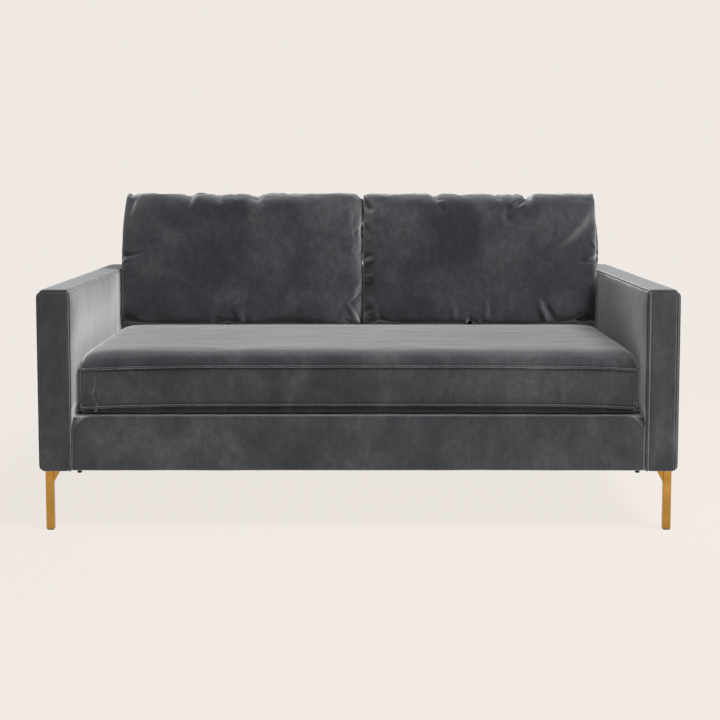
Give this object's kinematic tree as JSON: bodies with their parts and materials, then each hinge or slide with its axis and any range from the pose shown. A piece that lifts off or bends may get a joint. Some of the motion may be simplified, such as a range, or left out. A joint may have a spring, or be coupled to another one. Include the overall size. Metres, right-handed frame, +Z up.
{
  "type": "tuxedo sofa",
  "caption": "Square-armed velvet sofa with arms and back of one height, a bench seat cushion, loose knife-edge back cushions and slim brass legs.",
  "frame": {"origin": "floor point under the middle of the sofa's bounding box", "axes": "+X to the right as seen from the front, +Y to the back, +Z up; the seat faces -Y"},
  "size_m": [1.78, 0.89, 0.933],
  "materials": {
    "velvet": "charcoal grey velvet with a soft sheen",
    "timber": "planed hardwood, unvarnished",
    "spring_steel": "dark drawn wire",
    "webbing": "woven jute",
    "foam": "cut polyurethane foam",
    "dust_cloth": "black nonwoven dust cloth",
    "zip_tape": "woven tape with nylon coil",
    "zip_metal": "dark satin zinc",
    "brass_leg": "satin brushed brass",
    "glide_plastic": "matt black nylon",
    "bolt_steel": "black oxide"
  },
  "bodies": {
    "frame": {"front_rail": "timber", "rear_rail": "timber", "side_rail_left": "timber", "side_rail_right": "timber", "arm_front_post_left": "timber", "arm_front_post_right": "timber", "arm_rear_post_left": "timber", "arm_rear_post_right": "timber", "arm_top_rail_left": "timber", "arm_top_rail_right": "timber", "back_top_rail": "timber", "back_tack_rail": "timber", "back_centre_upright": "timber", "centre_stretcher": "timber", "corner_block_front_left": "timber", "corner_block_front_right": "timber", "corner_block_rear_left": "timber", "corner_block_rear_right": "timber", "seat_spring_1": "spring_steel", "seat_spring_2": "spring_steel", "seat_spring_3": "spring_steel", "seat_spring_4": "spring_steel", "seat_spring_5": "spring_steel", "seat_spring_6": "spring_steel", "seat_spring_7": "spring_steel", "back_webbing": "webbing", "deck_pad": "velvet", "arm_cover_left": "velvet", "arm_cover_right": "velvet", "back_cover": "velvet", "front_rail_cover": "velvet", "dust_cover": "dust_cloth", "leg_front_left": "brass_leg", "leg_front_right": "brass_leg", "leg_rear_left": "brass_leg", "leg_rear_right": "brass_leg", "glide_front_left": "glide_plastic", "glide_front_right": "glide_plastic", "glide_rear_left": "glide_plastic", "glide_rear_right": "glide_plastic", "leg_bolt_front_left_inboard": "bolt_steel", "leg_bolt_front_left_side": "bolt_steel", "leg_bolt_front_right_inboard": "bolt_steel", "leg_bolt_front_right_side": "bolt_steel", "leg_bolt_rear_left_inboard": "bolt_steel", "leg_bolt_rear_left_side": "bolt_steel", "leg_bolt_rear_right_inboard": "bolt_steel", "leg_bolt_rear_right_side": "bolt_steel"},
    "seat_cushion": {"seat_cushion_cover": "velvet", "seat_cushion_core": "foam", "seat_cushion_zip": "zip_tape"},
    "seat_zip_slider": {"seat_cushion_zip_slider": "zip_metal"},
    "back_cushion_left": {"back_cushion_left_cover": "velvet", "back_cushion_left_core": "foam", "back_cushion_left_zip": "zip_tape"},
    "back_zip_slider_left": {"back_cushion_left_zip_slider": "zip_metal"},
    "back_cushion_right": {"back_cushion_right_cover": "velvet", "back_cushion_right_core": "foam", "back_cushion_right_zip": "zip_tape"},
    "back_zip_slider_right": {"back_cushion_right_zip_slider": "zip_metal"}
  },
  "joints": [
    {"name": "seat_cushion_lift", "type": "slide", "parent": "frame", "child": "seat_cushion", "axis": [0, 0, 1], "range_m": [0, 0.36]},
    {"name": "back_cushion_left_lift", "type": "slide", "parent": "seat_cushion", "child": "back_cushion_left", "axis": [0, 0, 1], "range_m": [0, 0.25]},
    {"name": "back_cushion_right_lift", "type": "slide", "parent": "seat_cushion", "child": "back_cushion_right", "axis": [0, 0, 1], "range_m": [0, 0.25]},
    {"name": "seat_zip_slide", "type": "slide", "parent": "seat_cushion", "child": "seat_zip_slider", "axis": [1, 0, 0], "range_m": [0, 1.17]},
    {"name": "back_zip_left_slide", "type": "slide", "parent": "back_cushion_left", "child": "back_zip_slider_left", "axis": [1, 0, 0], "range_m": [0, 0.57]},
    {"name": "back_zip_right_slide", "type": "slide", "parent": "back_cushion_right", "child": "back_zip_slider_right", "axis": [1, 0, 0], "range_m": [0, 0.57]}
  ]
}
